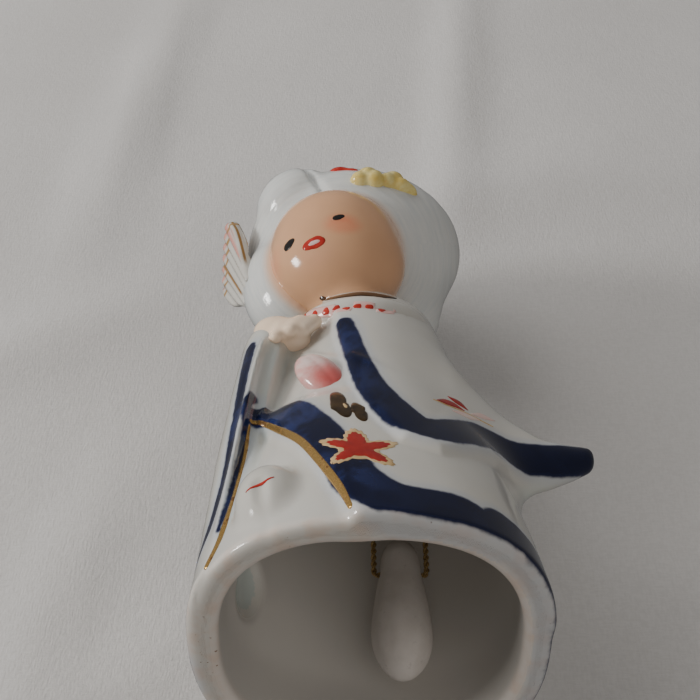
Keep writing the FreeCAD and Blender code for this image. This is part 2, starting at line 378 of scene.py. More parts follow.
WHITE = (0.64, 0.62, 0.575)
POOLED = (0.52, 0.56, 0.53)
COBALT = (0.0035, 0.006, 0.028)
COBALT_THIN = (0.016, 0.026, 0.10)


def glaze_surface(shader, waviness=0.00006):
    """Glossy porcelain glaze: the slight unevenness of poured glaze and fine pinholes."""
    level = shader.bump(shader.noise(140, 2.0), waviness, 0.6)
    level = shader.bump(shader.noise(900, 3.0), 0.000012, 0.5, level)
    shader.set(Normal=level, IOR=1.5, Coat_Weight=0.15, Coat_Roughness=0.03,
               Subsurface_Weight=0.07, Subsurface_Radius=(0.0022, 0.0019, 0.0016),
               Subsurface_Scale=1.0)
    shader.set(Roughness=shader.between(shader.noise(260, 2.0), 0.3, 0.75, 0.09, 0.17))
    return shader


def glazed_white(name):
    shader = glaze_surface(Shader(name))
    tone = shader.mix(shader.between(shader.noise(70, 3.0), 0.35, 0.7), WHITE, (0.61, 0.585, 0.53))
    return shader, tone


def white_material():
    """White glaze with the underglaze blue of the robe; the blue's edge is a vertex attribute."""
    shader, tone = glazed_white("glaze_robe")
    tone = shader.mix(shader.between(shader.attribute("pool"), 0.15, 0.9), tone, POOLED)
    # the bare inside is duller than the outside, and its colour is painted greyer: painted shade for the dim
    # hollow
    inner = shader.between(shader.attribute("inner"), 0.3, 0.7)
    tone = shader.mix(shader.times(inner, 0.9), tone, (0.56, 0.53, 0.49))
    # warm iron specks and a rubbed lip
    lip = shader.attribute("lip")
    tone = shader.mix(shader.times(lip, 0.55), tone, (0.80, 0.71, 0.64))
    warm = shader.between(shader.noise(300, 3.0), 0.4, 0.7)
    tone = shader.mix(shader.times(lip, shader.times(warm, 0.55)), tone,
                      (0.66, 0.50, 0.40))
    specks = shader.between(shader.noise(1500, 1.0), 0.71, 0.78)
    patches = shader.between(shader.noise(110, 1.0), 0.52, 0.62)
    specks = shader.times(shader.times(specks, patches), lip)
    tone = shader.mix(specks, tone, (0.20, 0.10, 0.04))
    # brushed cobalt: a wavering edge, streaks along the stroke, thinner where the brush lifted
    away = shader.attribute("blue")
    wander = shader.math("SUBTRACT", shader.noise(330, 3.0, 0.6), 0.5)
    ragged = shader.math("SUBTRACT", shader.noise(1100, 2.0, 0.6), 0.5)
    edge = shader.math("ADD", away, shader.times(wander, 0.75))
    edge = shader.math("ADD", edge, shader.times(ragged, 0.14))
    # a faint halo where the blue has bled into the glaze
    tone = shader.mix(shader.between(edge, 2.0, 0.1, 0.0, 0.42), tone, (0.43, 0.48, 0.56))
    painted = shader.between(edge, 0.30, -0.26)
    wet = shader.noise(120, 4.0, 0.62, distortion=0.8)
    thin = shader.between(wet, 0.44, 0.66)
    rim = shader.between(edge, -0.8, 0.0)
    thin = shader.math("MAXIMUM", shader.times(thin, shader.attribute("thin")),
                       shader.times(rim, 0.35))
    blue = shader.mix(thin, COBALT, COBALT_THIN)
    tone = shader.mix(painted, tone, blue)
    shader.paint(tone)
    rough = shader.between(shader.noise(260, 2.0), 0.3, 0.75, 0.09, 0.17)
    dull = shader.between(inner, 0, 1, 0.0, 0.34)
    shader.set(Roughness=shader.math("ADD", rough, dull))
    return shader.material


def hair_material():
    shader, tone = glazed_white("glaze_hair")
    across = shader.attribute("strand")
    along = shader.attribute("comb")
    combed = shader.add("ShaderNodeCombineXYZ", X=shader.times(across, 1.9), Y=shader.times(along, 2.2))
    strands = shader.noise(1.0, 3.0, 0.65, combed.outputs[0])
    groove = shader.between(strands, 0.3, 0.75)
    tone = shader.mix(0.65, tone, (0.79, 0.80, 0.785))
    tone = shader.mix(shader.times(groove, 0.5), tone, (0.57, 0.61, 0.625))
    tone = shader.mix(shader.between(shader.attribute("pool"), 0.15, 0.9), tone, POOLED)
    # a soft blush of flesh glaze where the hair meets the face
    tone = shader.mix(shader.attribute("flesh"), tone, (0.78, 0.50, 0.335))
    shader.paint(tone)
    level = shader.bump(strands, 0.00012, 0.35)
    shader.set(Normal=shader.bump(shader.noise(160, 2.0), 0.00006, 0.6, level))
    return shader.material


def flesh_material(name, marks=(), base=(0.74, 0.42, 0.24)):
    """Peach glaze with soft sprayed marks: each mark is centre, radii, colour, strength. On the face the marks
    are blushes; a pale mark is painted highlight.
    """
    shader = glaze_surface(Shader(name))
    patchy = shader.between(shader.noise(90, 3.0), 0.3, 0.7)
    pooled = shader.between(shader.attribute("pool"), 0.15, 0.9)
    tone = shader.mix(patchy, base, tuple(c * 0.93 for c in base))
    tone = shader.mix(pooled, tone, tuple(c * 0.75 for c in base))
    for centre, radii, colour, strength in marks:
        spot = shader.spot(centre, radii, soft=0.75)
        mottled = shader.between(shader.noise(420, 2.0), 0.25, 0.75, 0.6, 1.0)
        spot = shader.times(shader.times(spot, strength), mottled)
        tone = shader.mix(spot, tone, colour)
    shader.paint(tone)
    shader.set(Coat_Roughness=0.16)
    return shader.material


def enamel(name, colour, second=None, roughness=0.16, metallic=0.0):
    """Overglaze enamel or lustre, brushed on by hand."""
    shader = Shader(name)
    streak = shader.between(shader.noise(520, 4.0, 0.6), 0.3, 0.72)
    tone = shader.mix(streak, colour, second or tuple(c * 0.72 for c in colour))
    shader.paint(tone)
    level = shader.bump(shader.noise(1400, 3.0), 0.00003, 0.6)
    shader.set(Normal=level, Roughness=roughness, Metallic=metallic, Coat_Weight=0.3,
               Coat_Roughness=0.05, IOR=1.5)
    return shader.material


def gold_material(name):
    """Fired gold lustre, rubbed through to the brown in places."""
    shader = Shader(name)
    worn = shader.between(shader.noise(620, 4.0, 0.65), 0.50, 0.66)
    tone = shader.mix(worn, (0.84, 0.52, 0.17), (0.16, 0.075, 0.02))
    shader.paint(tone)
    shader.link(shader.main.inputs["Metallic"], shader.between(worn, 0, 1, 0.84, 0.2))
    shader.set(Normal=shader.bump(shader.noise(1200, 3.0), 0.00005, 0.6), Roughness=0.24,
               Coat_Weight=0.2, Coat_Roughness=0.06)
    return shader.material


def biscuit_material():
    """Unglazed porcelain: matte, faintly grainy, a little grubby in patches."""
    shader = Shader("biscuit")
    soft = shader.between(shader.noise(240, 4.0, 0.6), 0.3, 0.75)
    tone = shader.mix(soft, (0.61, 0.565, 0.525), (0.53, 0.485, 0.445))
    rubbed = shader.between(shader.noise(900, 3.0, 0.7), 0.62, 0.72, 0, 0.45)
    tone = shader.mix(rubbed, tone, (0.42, 0.38, 0.345))
    shader.paint(tone)
    level = shader.bump(shader.noise(2600, 4.0, 0.7), 0.00004, 0.7)
    level = shader.bump(shader.noise(300, 3.0), 0.00008, 0.5, level)
    shader.set(Normal=level, Roughness=0.62, Subsurface_Weight=0.08,
               Subsurface_Radius=(0.0015, 0.0012, 0.001), Subsurface_Scale=1.0, IOR=1.5)
    return shader.material


def cord_material():
    """Metallic gold thread laid up with a dark core that shows between the turns."""
    shader = Shader("gold_thread")
    fibre = shader.attribute("fibre")
    ridge = shader.between(shader.math("SINE", shader.times(fibre, 26.0)), -0.6, 0.5)
    patch = shader.noise(700, 3.0, 0.6)
    tone = shader.mix(ridge, (0.16, 0.09, 0.035), (0.80, 0.57, 0.25))
    tone = shader.mix(shader.between(patch, 0.52, 0.7), tone, (0.20, 0.11, 0.04))
    shader.paint(tone)
    shader.set(Metallic=0.6, Roughness=0.36, Normal=shader.bump(ridge, 0.00005, 0.8))
    return shader.material


ROBE = white_material()
HAIR = hair_material()
BISCUIT = biscuit_material()
GOLD = gold_material("gold_lustre")
THREAD = cord_material()
RED = enamel("red_enamel", (0.55, 0.045, 0.028), (0.42, 0.022, 0.016))
LEAF_RED = enamel("leaf_red", (0.42, 0.022, 0.014), (0.33, 0.014, 0.010))
PALE_GOLD = enamel("pale_gold", (0.86, 0.63, 0.34), (0.70, 0.46, 0.20), 0.25, 0.25)
DARK_GOLD = enamel("dark_gold", (0.12, 0.07, 0.025), (0.035, 0.022, 0.012), 0.2, 0.55)
BLACK = enamel("black_enamel", (0.012, 0.012, 0.014), (0.02, 0.018, 0.016))
# dark brown, used only for the painted shadow under the chin
NECK_GAP_SHADOW = enamel("neck_gap_painted_shadow", (0.035, 0.018, 0.010), (0.06, 0.03, 0.015))
PINK_BAND = enamel("pink_band", (0.80, 0.46, 0.42), (0.78, 0.56, 0.52))
PINK_LEAF = enamel("pink_leaf", (0.80, 0.52, 0.48), (0.78, 0.66, 0.58))


# ---- the seat of the photograph
EYE = np.array([-2.75, -130.9, -113.0])
FORWARD = np.array([0, 0.588, 0.809])
TOO_FAR = 8  # mm that a mark may move along the line of sight
SUNK = 0.25  # mm that a mark's closed underside lies below the glaze
LIFT = 0.015  # mm that its edge stands above the glaze


def tree_of(*objects):
    """One search tree over several objects, in millimetres."""
    verts, faces = [], []
    for obj in objects:
        base = len(verts)
        verts += [v.co / MM for v in obj.data.vertices]
        faces += [[base + i for i in p.vertices] for p in obj.data.polygons]
    return BVHTree.FromPolygons(verts, faces)


def nearest(tree, point):
    """The nearest place on the surface and its normal."""
    place, normal, _, _ = tree.find_nearest(Vector(point))
    return np.array(place), np.array(normal)


def seen(tree, points):
    """Each point moved along the line from the eye on to the surface, unless that is far off."""
    result = []
    for point in points:
        way = Vector(np.asarray(point, float) - EYE).normalized()
        place = tree.ray_cast(Vector(EYE), way)[0]
        if place is None or (place - Vector(point)).length > TOO_FAR:
            place = nearest(tree, point)[0]
        result.append(np.array(place))
    return np.array(result)


def dense(points, values=None, step=0.6):
    """Catmull-Rom curve through the points, with values carried along."""
    points = np.asarray(points, float)
    values = np.zeros(len(points)) if values is None else np.asarray(values, float)
    rows = np.column_stack([points, values])
    padded = np.vstack([2 * rows[0] - rows[1], rows, 2 * rows[-1] - rows[-2]])
    result = []
    for i in range(1, len(padded) - 2):
        a, b, c, d = padded[i - 1:i + 3]
        count = max(2, int(np.linalg.norm(c[:3] - b[:3]) / step))
        for t in np.arange(count) / count:
            result.append(0.5 * (2 * b + (c - a) * t + (2 * a - 5 * b + 4 * c - d) * t**2
                                 + (3 * b - a - 3 * c + d) * t**3))
    result.append(rows[-1])
    result = np.array(result)
    return result[:, :3], result[:, 3]


def stroke(name, tree, points, widths, material, height=0.07, step=0.35):
    """A brushed line lying on the surface as a thin closed strip of enamel."""
    line, half = dense(seen(tree, points), widths, step)
    verts = []
    across = np.linspace(-1, 1, 7)
    for i, (point, w) in enumerate(zip(line, half)):
        way = line[min(i + 1, len(line) - 1)] - line[max(i - 1, 0)]
        side = np.cross(nearest(tree, point)[1], way)
        side /= max(np.linalg.norm(side), 1e-9)
        end = min(i, len(line) - 1 - i) * step
        w = max(w * min(1, math.sqrt(min(1.0, (end + 0.05) / max(w, 0.05)))), 0.05)
        top, low = [], []
        for u in across:
            spot, normal = nearest(tree, point + side * u * w)
            top.append(spot + normal * (LIFT + height * (1 - u * u)))
            low.append(spot - normal * SUNK)
        verts += top + low[::-1]
    faces = tube_faces(len(line), 2 * len(across))
    return closed_outward(new_object(name, verts, faces, material))


def patch(name, tree, centre, outline, material, up=(0, 0, 1), height=0.08, rings=6, sides=72):
    """A dab of enamel with the outline radius(angle) in mm, lying on the surface."""
    place = seen(tree, [centre])[0]
    _, normal = nearest(tree, place)
    right = np.cross(np.asarray(up, float), normal)
    right /= np.linalg.norm(right)
    upward = np.cross(normal, right)

    def on_surface(part, angle, lift):
        reach = outline(angle) * part
        point = place + right * reach * math.cos(angle) + upward * reach * math.sin(angle)
        spot, normal_there = nearest(tree, point)
        return spot + normal_there * lift

    angles = np.linspace(0, 2 * math.pi, sides, endpoint=False)
    verts = [on_surface(0, 0, LIFT + height)]
    for part in np.arange(1, rings + 1) / rings:
        verts += [on_surface(part, angle, LIFT + height * (1 - part**4)) for angle in angles]
    top = len(verts)
    verts += [on_surface(1, angle, -SUNK) for angle in angles]
    verts.append(on_surface(0, 0, -SUNK))
    faces = [[0, 1 + k, 1 + (k + 1) % sides] for k in range(sides)]
    for ring in range(rings):
        a = 1 + ring * sides
        b = a + sides
        for k in range(sides):
            n = (k + 1) % sides
            faces.append([a + k, b + k, b + n, a + n])
    faces += [[top + (k + 1) % sides, top + k, len(verts) - 1] for k in range(sides)]
    return closed_outward(new_object(name, verts, faces, material))


def tilted_oval(wide, high, tilt=0.0, wobble=0.0, seed=0):
    """The outline of an ellipse turned by tilt degrees, a little uneven."""
    phase = seed * 1.7

    def outline(angle):
        a = angle - math.radians(tilt)
        radius = wide * high / math.hypot(high * math.cos(a), wide * math.sin(a))
        uneven = math.sin(3 * angle + phase) + 0.6 * math.sin(5 * angle + 2 * phase)
        return radius * (1 + wobble * uneven)

    return outline


# ---- the robe
LEVELS = [0, 10, 24, 38, 50, 61, 70, 75]
WIDE = curve_through(LEVELS, [24, 22.8, 20.6, 17.6, 15.0, 13.4, 11.4, 7])
DEEP = curve_through(LEVELS, [23.5, 22, 18.8, 15.6, 13.6, 12, 9.8, 6.5])
SQUARE = curve_through([0, 12, 30, 75], [2.5, 2.35, 2.15, 2.05])
FIN_X = [4, 6, 13, 20, 26, 30.5, 33.6, 36]
FIN_Y = curve_through(FIN_X, [-3, -3, -4.5, -4, -4, -4, -4, -4], 3)
FIN_Z = curve_through(FIN_X, [46, 45, 41, 34.6, 32.2, 32.6, 33.4, 34], 3)
FIN_DEEP = curve_through(FIN_X, [6.1, 6.0, 5.6, 4.1, 2.9, 2.25, 1.5, 0.8], 2)
FIN_HIGH = curve_through(FIN_X, [9.8, 9.5, 9.6, 8.4, 5.0, 3.1, 2.0, 1.0], 2)
ARM_Z = [0, 2.5, 15, 30, 46, 58, 63, 70]
ARM_X = curve_through(ARM_Z, [-20.6, -20.4, -19.5, -18.3, -17, -15.6, -14.2, -12.5], 4)
ARM_Y = curve_through(ARM_Z, [-1, -1, -2, -2.5, -3, -4, -5, -5], 4)
ARM_WIDE = curve_through(ARM_Z, [3.0, 3.2, 4, 4.5, 4.7, 5.0, 3.6, 2.4], 4)
ARM_DEEP = curve_through(ARM_Z, [8.6, 9, 10, 10.3, 9.6, 7.8, 4.8, 3], 4)

CAPE_LINE = [(-6.2, 62), (-5.4, 57.3), (-4.3, 50), (-2.5, 38.8), (0.0, 27.5), (4.4, 18.8), (9.5, 17.0),
             (15, 21), (20, 25), (27, 27.5), (40, 30)]
GOLD_LINE = [(-16.4, 37.5), (-17.0, 34.0), (-15.9, 31.0), (-13.4, 28), (-9.5, 20.2), (-6.6, 12.9),
             (-4, 6.1), (-2.2, 0.1), (-1.6, -4)]
UNDER_LINE = [(-17.0, 34.0), (-17.7, 23.8), (-19.0, 14), (-19.9, 9), (-21.4, 3.9), (-22.0, 1.8)]


def girth(p, wide, deep, square):
    """Distance to a superellipse section, measured towards the axis."""
    x, y = np.abs(p[..., 0]), np.abs(p[..., 1])
    reach = ((x / wide) ** square + (y / deep) ** square + 1e-9) ** (1 / square)
    return (reach - 1) * np.maximum(np.hypot(x, y), 0.4) / np.maximum(reach, 0.02)


def robe_outside(p):
    x, y, z = p[..., 0], p[..., 1], p[..., 2]
    body = girth(p, WIDE(z), DEEP(z), SQUARE(z)) * 0.95
    body = smooth_max(body, (z - 74.5) * 0.9, 3.0)
    front = ease(-1.0, -5.0, y)
    cape = side_of_line(x, z, CAPE_LINE)
    gold = side_of_line(x, z, GOLD_LINE)
    under = side_of_line(x, z, UNDER_LINE)
    # cloth laid over cloth: each edge stands up and dies away behind itself
    body -= front * 1.35 * ease(1.1, -1.2, cape) * (0.35 + 0.65 * ease(-16, -1, cape))
    hem = ease(0.9, -0.9, gold) * ease(-1.5, 1.0, cape)
    body -= front * 1.25 * hem * (0.3 + 0.7 * ease(-13, -1, gold)) * ease(37, 33, z)
    body += front * 0.35 * ease(0.0, 1.6, gold) * ease(-0.6, -1.6, under) * ease(34, 28, z)
    # folds that run down from the hand across the chest
    for angle, depth in ((0.52, 0.30), (0.86, 0.22)):
        fold = (x + 8.5) * math.cos(angle) + (z - 49) * math.sin(angle)
        body -= front * depth * hump(fold, 1.1) * ease(38, 43, z) * ease(60, 54, z)
    fin_r = np.hypot((y - FIN_Y(x)) / FIN_DEEP(x), (z - FIN_Z(x)) / FIN_HIGH(x))
    fin = (fin_r - 1) * np.minimum(FIN_DEEP(x), FIN_HIGH(x)) * 0.9
    fin = smooth_max(fin, x - 33.9, 1.2)
    fin = smooth_max(fin, 3 - x, 2.0)
    body = smooth_min(body, fin, 5.5)
    arm_r = np.hypot((x - ARM_X(z)) / ARM_WIDE(z), (y - ARM_Y(z)) / ARM_DEEP(z))
    arm = (arm_r - 1) * np.minimum(ARM_WIDE(z), ARM_DEEP(z)) * 0.9
    # two pinched edges down the front of the hanging sleeve
    for off, high in ((-0.2, 0.55), (2.6, 0.4)):
        arm -= front * high * hump(x - (ARM_X(z) + off), 0.7) * ease(4, 9, z) * ease(56, 50, z)
    arm = smooth_max(arm, z - 64.5, 2.0)
    arm = smooth_max(arm, 1.5 - z, 1.0)
    body = smooth_min(body, arm, 2.2)
    toe = ellipsoid(p, (-12.6, -16.9, 8.8), (5.0, 4.7, 7.0), turned("Y", -10))
    body = smooth_min(body, toe, 1.1)
    # the cleft of the split-toed sock
    cleft = np.hypot(x + 14.1 + 0.12 * (z - 6), (y + 21.6)) - 0.9
    body = smooth_max(body, -smooth_max(cleft, z - 10.0, 1.0), 0.9)
    return body


def robe_inside(p):
    z = p[..., 2]
    wall = 3.9 - 0.9 * ease(0, 12, z)
    hollow = girth(p, WIDE(z) - wall, DEEP(z) - wall, SQUARE(z)) * 0.95
    # the inside follows the draped panels a little, as slip-cast walls do
    hollow += 0.35 * hump(p[..., 0] + 2, 3) * ease(-6, -14, p[..., 1]) * ease(30, 12, z)
    return smooth_max(hollow, z - 69.3, 3.0)


def robe_field(p):
    shell = smooth_max(robe_outside(p), -robe_inside(p), 0.9)
    dent = np.linalg.norm(p - np.array([-11.2, -13.8, 9]), axis=-1) - 5.5
    shell = smooth_max(shell, -dent, 1.6)
    # the hanging sleeve is hollow where it meets the wall
    recess = ellipsoid(p, (-16.1, 6.0, 17), (3.2, 4.4, 6.0))
    shell = smooth_max(shell, -recess, 0.9)
    return smooth_max(shell, -p[..., 2], 1.3)


robe = formed("robe_casting", robe_field, [-25.6, -26.4, -0.9], [35.2, 25.0, 76.2], (0.42, 0.8), ROBE)
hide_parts("robe_bell", "left_sleeve", "right_sleeve", "front_panel", "side_panel", "tabi_foot")
ROBE_TREE = tree_of(robe)

# underglaze blue: lines in mm, their half-widths, and whether they are laid along the line of sight
BLUE_LINES = [
    ([(-3.8, -12.1, 58.3), (-3.4, -12.1, 56.4), (-2.4, -13.4, 50), (-0.1, -15.4, 38.8), (3.1, -18.9, 28),
      (7.5, -19.2, 22.8), (14.5, -12.1, 27.6), (22.3, -7.5, 30.2), (29.9, -6.2, 31.4), (33.5, -5.0, 33.0)],
     [1.5, 1.75, 1.8, 2.2, 2.9, 3.3, 3.2, 3.0, 2.9, 2.6], True),
    ([(-15.4, -12.1, 34.3), (-11.4, -15.4, 30.9), (-7.0, -19.4, 22.2), (-4.2, -21.9, 14.6), (-1.7, -23.3, 8.0),
      (1.8, -23.3, 4.6), (6, -22.6, 3.8), (11, -21.0, 4.0), (15.5, -18.0, 3.6)],
     [2.7, 3.0, 2.8, 3.0, 3.4, 3.7, 3.8, 3.8, 3.5], True),
    ([(15.5, -18.0, 3.2), (19.5, -13.5, 2.6), (22.6, -7, 2.0), (24.2, 0, 1.6), (23.8, 8, 1.2), (21, 14.5, 0.8)],
     [3.3, 2.9, 2.6, 2.3, 1.8, 0.5], False),
    ([(-18.6, -10.9, 53), (-18.9, -11.3, 51.5), (-19.1, -11.8, 43.1), (-19.3, -12.4, 32.6), (-20, -12.2, 19.7),
      (-21.3, -10.4, 9.9), (-23.1, -4, 5.2), (-24.2, 2, 2.0), (-23.7, 8, 1.0)],
     [0.9, 1.35, 1.25, 1.1, 1.0, 0.9, 0.95, 0.8, 0.3], False),
    ([(-17.3, -12.6, 37.6), (-18.0, -12.7, 36), (-18, -12.7, 27.7), (-18.9, -12.2, 17.7), (-20.3, -11.3, 10.8)],
     [1.1, 0.95, 0.65, 0.5, 0.45], True),
]
FAR_FROM_BLUE = 9.0
points = vertex_places(robe)
depth_in_wall = robe_inside(points)
blue = np.full(len(points), FAR_FROM_BLUE)
for number, (line, widths, in_sight) in enumerate(BLUE_LINES):
    if in_sight:
        line = seen(ROBE_TREE, line)
    else:
        line = [nearest(ROBE_TREE, q)[0] for q in line]
    route, half = dense(line, widths, 1.2)
    if in_sight:
        route = seen(ROBE_TREE, route)
    away, _ = capsule_chain(points, route, half)
    if number == 0:  # the stroke wraps the tip of the sleeve
        away = np.where(points[:, 0] > 30.5, np.minimum(away, 31.6 - points[:, 0]), away)
    blue = np.minimum(blue, away)
edge = 0.55 - 0.2 * ease(14, 20, points[:, 0])  # the stroke runs nearer the lip on the right
blue = np.where(points[:, 2] < 1.4, np.maximum(blue, edge - points[:, 2]), blue)
blue = np.where(depth_in_wall < 0.8, FAR_FROM_BLUE, blue)
set_attribute(robe, "blue", blue)
set_attribute(robe, "thin", ease(6, -6, points[:, 0]) * 0.85 + 0.12)
# the inside of the wall: painted greyer there as painted shade, and rougher
set_attribute(robe, "inner", ease(0.9, -0.2, depth_in_wall - 0.6 * ease(1.5, 0, points[:, 2])))
set_attribute(robe, "lip", ease(2.2, 0.2, points[:, 2]))


set_attribute(robe, "pool", hollows(robe, robe_outside) * (depth_in_wall > 1.0))

# ---- head, collar and hair
HEAD = np.array([-5.3, -7, 86.5])
FACE = np.array([-0.12, -0.62, -0.78])
FACE /= np.linalg.norm(FACE)
EYES = np.array([[-13.5, -13.4, 80.1], [-4.8, -18.1, 81.6]])


def head_field(p):
    skull = np.linalg.norm(p - HEAD, axis=-1) - 12.1
    cheek = ellipsoid(p, (-4.6, -8.8, 79.4), (11.3, 8.8, 9.4))
    skull = smooth_min(skull, cheek, 4.0)
    nose = np.linalg.norm(p - np.array([-9.2, -16.2, 80.7]), axis=-1) - 0.75
    skull = smooth_min(skull, nose, 1.3)
    neck, _ = capsule_chain(p, [(-1, -3.2, 68), (-3, -5.2, 78)], [7.4, 7.4])
    return smooth_max(smooth_min(skull, neck, 1.6), 67.5 - p[..., 2], 0.8)


FLESH = flesh_material("flesh_glaze_head", [
    ((-4.0, -17.8, 79.4), (2.5, 3.0, 1.9), (0.80, 0.19, 0.09), 0.75),
    ((-15.2, -8.5, 79.0), (2.6, 3.4, 3.0), (0.80, 0.27, 0.15), 0.55),
    ((-9.0, -15.0, 74.2), (3.0, 4.0, 2.0), (0.80, 0.42, 0.28), 0.35),
])
head = formed("face_and_neck", head_field, [-18.6, -21, 66.6], [8, 6.4, 99.6], (0.42, 0.8), FLESH)
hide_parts("head")
set_attribute(head, "pool", np.zeros(len(head.data.vertices)))
HEAD_TREE = tree_of(head)

TILT = turned("X", 24)


def collar_field(p):
    q = (p - np.array([-0.6, -2.6, 66])) @ TILT
    ring = np.hypot(q[..., 0], q[..., 1])
    outer_band = np.hypot(ring - 9.5, q[..., 2] * 0.92) - 2.55
    return smooth_max(outer_band, -(robe_outside(p) + 1.2), 0.4)


COLLAR, collar_tone = glazed_white("glaze_collar")
collar = formed("neck_band", collar_field, [-14, -15.6, 58.6], [12.8, 11, 72.5], (0.4, 0.8),
                COLLAR.paint(collar_tone))
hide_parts("collar")
COLLAR_TREE = tree_of(collar, robe)


def comb_angle(p):
    """The direction round the face in which a strand is combed back."""
    q = p - HEAD
    right = np.cross(FACE, [0, 0, 1.0])
    right /= np.linalg.norm(right)
    upward = np.cross(right, FACE)
    deep = q @ FACE
    return np.arctan2(q @ upward, q @ right), deep


def off_face_axis(p):
    """Distance from the line that runs through the head and out at the face."""
    q = p - HEAD
    return np.linalg.norm(q - (q @ FACE)[..., None] * FACE, axis=-1)


def hair_field(p):
    x, y, z = p[..., 0], p[..., 1], p[..., 2]
    mass = ellipsoid(p, (-2.0, 0, 98.3), (20.4, 16.6, 16.2))
    nape = ellipsoid(p, (0.5, 4.0, 85), (13.6, 10.6, 13.6))
    mass = smooth_min(mass, nape, 5.0)
    # the fall of hair on the fan's side, down to the shoulder
    fall = ellipsoid(p, (-13.4, -1.4, 84.0), (9.0, 8.8, 13.5), turned("Y", -5))
    lock = ellipsoid(p, (-12.2, -7.6, 101.6), (8.4, 8.4, 8.4), turned("Y", 20))
    mass = smooth_min(mass, lock, 1.0)
    groove = (x + 8.9) * 0.93 + (z - 99) * 0.36
    mass += 0.75 * hump(groove, 0.75) * ease(-8, -13, y) * ease(90, 94, z) * ease(108, 104, z)
    # the opening for the face, along the line of sight of the face, with a soft rolled edge
    off = off_face_axis(p)
    mass -= 0.022 * np.sin(5.5 * off + 2 * np.sin(0.35 * z) + 1.5 * np.sin(0.5 * x)) * ease(11.5, 14, off)
    opening = smooth_max(off - 11.1, 1.5 - (p - HEAD) @ FACE, 3.0)
    return smooth_min(smooth_max(mass, -opening, 3.4), fall, 2.6)


hair = formed("bouffant_hair", hair_field, [-24.6, -18.4, 71.0], [19.8, 18.2, 116.0], (0.42, 0.9), HAIR)
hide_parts("hair", "forelock")
spots = vertex_places(hair)
angle, deep = comb_angle(spots)
off = off_face_axis(spots)
set_attribute(hair, "strand", off)
set_attribute(hair, "comb", np.abs(angle - 0.6))
set_attribute(hair, "pool", hollows(hair, hair_field))
set_attribute(hair, "flesh", ease(13.4, 10.9, off) * (deep > -1) * ease(3.0, 0.2, head_field(spots)))

# face: eyes, mouth
slope = EYES[1] - EYES[0]
slope /= np.linalg.norm(slope)
face_up = np.cross(-FACE, slope)
face_up *= np.sign(face_up[2])
for number, (eye, size) in enumerate(zip(EYES, ((1.35, 0.92, 25), (1.15, 0.64, -6)))):
    dab = patch(f"eye_{number}", HEAD_TREE, eye, tilted_oval(*size, 0.04, number), BLACK, face_up, 0.07)
LIPS = (-9.0, -15.0, 78.1)
LIPS_TILT = -8
mouth = patch("mouth_ring", HEAD_TREE, LIPS, tilted_oval(2.15, 1.2, LIPS_TILT, 0.05, 3), RED, face_up, 0.09)
inside = patch("mouth_inside", HEAD_TREE, LIPS, tilted_oval(1.25, 0.5, LIPS_TILT, 0.05, 5), PINK_BAND,
               face_up, 0.17)

# ---- marks on the collar
band = stroke("collar_band", COLLAR_TREE,
              [(-12.2, -7.5, 65.0), (-10.6, -9.3, 63.5), (-6.9, -12, 61.4), (-3.6, -13.1, 60.7),
               (-0.3, -13.4, 60.5), (3.2, -12.6, 60.6), (4.8, -12.2, 61.0)],
              [0.5, 0.85, 1.1, 1.2, 1.2, 1.0, 0.5], PINK_BAND, 0.05)
DOTS = [(-10.4, -9.5, 63.5), (-8.6, -10.8, 62.4), (-6.7, -12, 61.4), (-5.0, -12.7, 61.0),
        (-3.3, -13.1, 60.7), (-1.5, -13.4, 60.5), (0.4, -13.3, 60.5), (2.4, -12.8, 60.6)]
for number, spot in enumerate(DOTS):
    dot = patch(f"collar_dot_{number}", COLLAR_TREE, spot,
                lambda a, n=number: 0.78 * (1 + 0.12 * math.cos(3 * a + 1.6 + 0.5 * n)), RED,
                height=0.12, sides=30, rings=3)
# a dark brown stroke along the gap under the chin: painted shadow
line = stroke("collar_line", tree_of(collar, robe, head),
              [(-7.8, -12.0, 65.2), (-6, -12.5, 64.5), (-3.5, -13.2, 64.3), (-1.1, -13.6, 64.2),
               (2.2, -13.2, 64.3), (5.0, -12.4, 64.6)],
              [0.35, 0.75, 1.1, 1.25, 1.05, 0.35], NECK_GAP_SHADOW, 0.06)

# ---- hand, sash knot, fan, hair ornaments
KNUCKLES = [(-16.8, -12.3, 51.2), (-14.7, -13.6, 52.2), (-12.4, -14.1, 53.2), (-10.2, -13.6, 54.2)]


def hand_field(p):
    palm = ellipsoid(p, (-13.8, -9.6, 57.4), (5.0, 3.4, 3.3), turned("Y", 25))
    for tip in KNUCKLES:
        tip = np.array(tip) + [0, 0.5, 1.3]
        finger, _ = capsule_chain(p, [tip + [0.15, 0.75, 0.1], tip + [1.6, 1.5, 3.4]], [1.0, 1.3])
        palm = smooth_min(palm, finger, 1.2)
    palm = smooth_max(palm, 50.4 + 0.45 * (p[..., 0] + 17) - p[..., 2], 1.2)
    return smooth_max(palm, -(robe_outside(p) + 1.0), 0.4)


# the hand's flesh is paler than the face's; its base and the pale mark at its right end are raised further as
# painted highlight for the light on the hand
HAND_FLESH_AND_HIGHLIGHT = flesh_material("flesh_glaze_hand_and_painted_highlight", [((-7.0, -13, 54), (4.0, 4.0, 4.0), (0.96, 0.84, 0.72), 0.5)],
                            (1.0, 0.77, 0.58))
hand = formed("folded_hand", hand_field, [-20.6, -16.4, 48.6], [-5, -4, 61.0], (0.3, 0.6), HAND_FLESH_AND_HIGHLIGHT)
set_attribute(hand, "pool", hollows(hand, hand_field, 0.7))
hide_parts("hand")


def knot_field(p):
    oval = ellipsoid(p, (-7.2, -13.9, 41.4), (3.3, 1.9, 5.4), turned("Y", -32))
    crease = hump((p[..., 0] + 7.2) * 0.85 + (p[..., 2] - 41.4) * 0.53, 0.5) * 0.1
    return smooth_max(oval + crease, -(robe_outside(p) + 1.0), 0.3)


